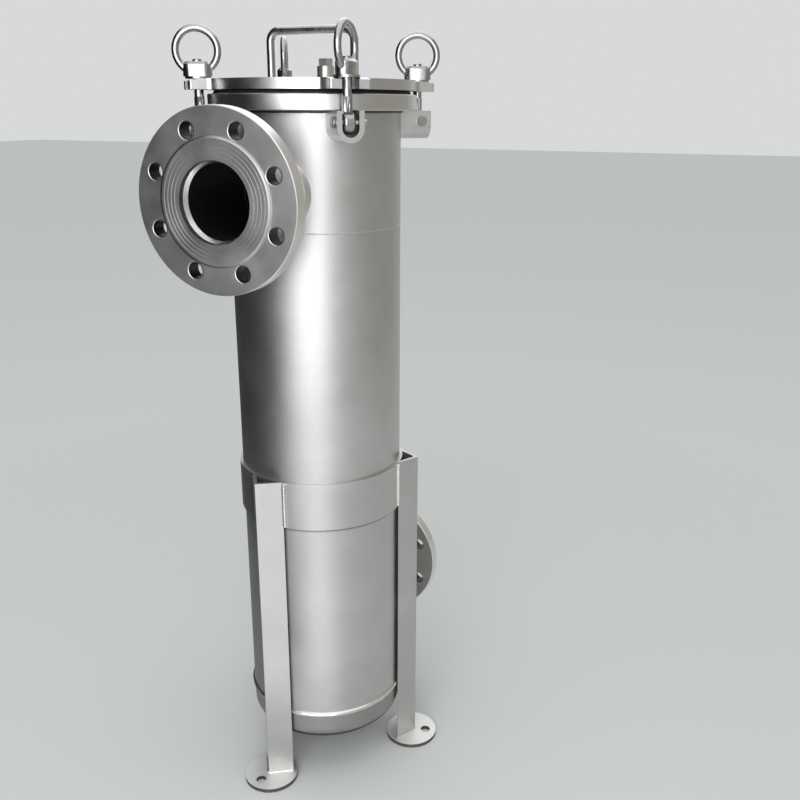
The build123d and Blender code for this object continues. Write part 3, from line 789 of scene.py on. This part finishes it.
def floor_paint():
    """Pale grey floor paint, matte and even."""
    material = bpy.data.materials.new("pale_floor_paint")
    material.use_nodes = True
    tree = material.node_tree
    shader = tree.nodes["Principled BSDF"]
    shader.inputs["Base Color"].default_value = linear("#C8CCCA")
    shader.inputs["Roughness"].default_value = 0.8
    shader.inputs["Specular IOR Level"].default_value = 0.0
    # Far from the lamps the floor would fall away to grey, so a share of what is seen is its own tone.
    even_from, even_to, most_even = 0.15, 1.6, 0.7
    place = node(tree, "ShaderNodeTexCoord").outputs["Object"]
    away = node(tree, "ShaderNodeVectorMath", {0: place}, operation="LENGTH").outputs["Value"]
    far_share = node(tree, "ShaderNodeMapRange", {
        "Value": away, "From Min": even_from, "From Max": even_to, "To Min": 0.0, "To Max": most_even,
    })
    share = node(tree, "ShaderNodeMath", {0: seen_as_backdrop(tree), 1: far_share.outputs[0]},
                 operation="MULTIPLY")
    even_tone = node(tree, "ShaderNodeEmission", {"Color": linear("#C8CDCC")})
    shared = node(tree, "ShaderNodeMixShader", {
        0: share.outputs[0], 1: shader.outputs[0], 2: even_tone.outputs[0],
    })
    tree.links.new(shared.outputs[0], tree.nodes["Material Output"].inputs["Surface"])
    return material


deselect_all()
bpy.ops.mesh.primitive_plane_add(size=40, location=(0, 0, 0))
floor = bpy.context.object
floor.name = "floor"
dress(floor, floor_paint())


# ---------------------------------------------------------------- studio lights and cards
def softbox(name, location, target, width, height, power, tone="#FFFFFF"):
    """A rectangular studio light aimed at a point."""
    data = bpy.data.lights.new(name, "AREA")
    data.color = linear(tone)[:3]
    data.shape = "RECTANGLE"
    data.size = width
    data.size_y = height
    data.energy = power
    lamp = bpy.data.objects.new(name, data)
    bpy.context.scene.collection.objects.link(lamp)
    lamp.location = location
    lamp.rotation_euler = (Vector(target) - Vector(location)).to_track_quat("-Z", "Y").to_euler()


def glowing(name, azimuth, distance, height, turn, size, tone, strength):
    """A studio card or board that glows evenly and that only bare metal sees."""
    deselect_all()
    bpy.ops.mesh.primitive_plane_add(size=1)
    item = bpy.context.object
    item.scale = (*size, 1)
    item.location = outward(azimuth) * distance + Vector((0, 0, height))
    item.rotation_euler = turn
    settle(item, name)
    material = bpy.data.materials.new(name)
    material.use_nodes = True
    tree = material.node_tree
    tree.nodes.clear()
    glow = node(tree, "ShaderNodeEmission", {"Color": linear(tone), "Strength": strength})
    node(tree, "ShaderNodeOutputMaterial", {"Surface": glow.outputs[0]})
    dress(item, material)
    item.visible_camera = False
    item.visible_diffuse = False
    item.visible_shadow = False
    item.visible_transmission = False


def standing_card(name, azimuth, distance, width, low, high, tone, strength=1.0):
    """An upright card that faces the object."""
    turn = (-outward(azimuth)).to_track_quat("Z", "Y").to_euler()
    glowing(name, azimuth, distance, (low + high) / 2, turn, (width, high - low), tone, strength)


def lying_board(name, azimuth, near, far, width, tone, strength=1.0):
    """A board just above the floor, its length pointing at the object."""
    turn = (0, 0, math.radians(azimuth))
    glowing(name, azimuth, (near + far) / 2, 2 * MM, turn, (width, far - near), tone, strength)


camera_azimuth = 28.45
key_place = outward(camera_azimuth - 11) * 2.2 + Vector((0, 0, 0.95))
softbox("key_light", key_place, (0, 0, 0.5), width=1.9, height=2.4, power=44, tone="#FBF9FF")
softbox("ceiling_light", (0, 0, 2.8), (0, 0, 0), width=4.8, height=4.8, power=46)

# The dark card and board give the steel its dark left flank, and the pale board its low highlight.
left = camera_azimuth - 108
standing_card("dark_card_left", left, distance=0.75, width=2.6, low=0.0, high=1.9, tone="#1B1D1D")
standing_card("grey_card_right", camera_azimuth + 88, distance=2.0, width=3.8, low=0.0, high=3.0,
              tone="#A8A69E")
lying_board("dark_board_left", left, near=0.2, far=0.85, width=1.3, tone="#7C7E7E")
lying_board("pale_board_in_front", camera_azimuth - 8, near=0.3, far=1.25, width=0.28,
            tone="#FFFFFF", strength=1.3)
standing_card("pale_card_behind", camera_azimuth + 180, distance=2.6, width=3.6, low=1.6, high=4.0,
              tone="#FFFFFF", strength=1.7)

world = bpy.data.worlds.new("studio")
bpy.context.scene.world = world
world.use_nodes = True
sky = world.node_tree
sky.nodes.clear()
ambient = node(sky, "ShaderNodeBackground", {"Color": linear("#FFFFFF"), "Strength": 0.55})
backdrop = node(sky, "ShaderNodeBackground", {"Color": linear("#D8D9DA"), "Strength": 1.0})
shown = node(sky, "ShaderNodeMixShader", {
    0: seen_as_backdrop(sky), 1: ambient.outputs[0], 2: backdrop.outputs[0],
})
node(sky, "ShaderNodeOutputWorld", {"Surface": shown.outputs[0]})

# ---------------------------------------------------------------- camera
# It stands to the right of the inlet, a little under the lid's height, looking down.
camera_place = (0.5592, -1.0320, 0.9237)
sight = Vector((-0.3724, 0.8741, -0.3119)).normalized()
roll = math.radians(0.237)
camera_data = bpy.data.cameras.new("camera")
camera_data.sensor_width = 36.0
camera_data.lens = 39.98
camera = bpy.data.objects.new("camera", camera_data)
bpy.context.scene.collection.objects.link(camera)
level = sight.cross(UP).normalized()
right = level * math.cos(roll) + level.cross(sight) * math.sin(roll)
above = right.cross(sight)
facing = Matrix((right, above, -sight)).transposed().to_4x4()
camera.matrix_world = Matrix.Translation(camera_place) @ facing
bpy.context.scene.camera = camera

bpy.context.scene.view_settings.view_transform = "Standard"
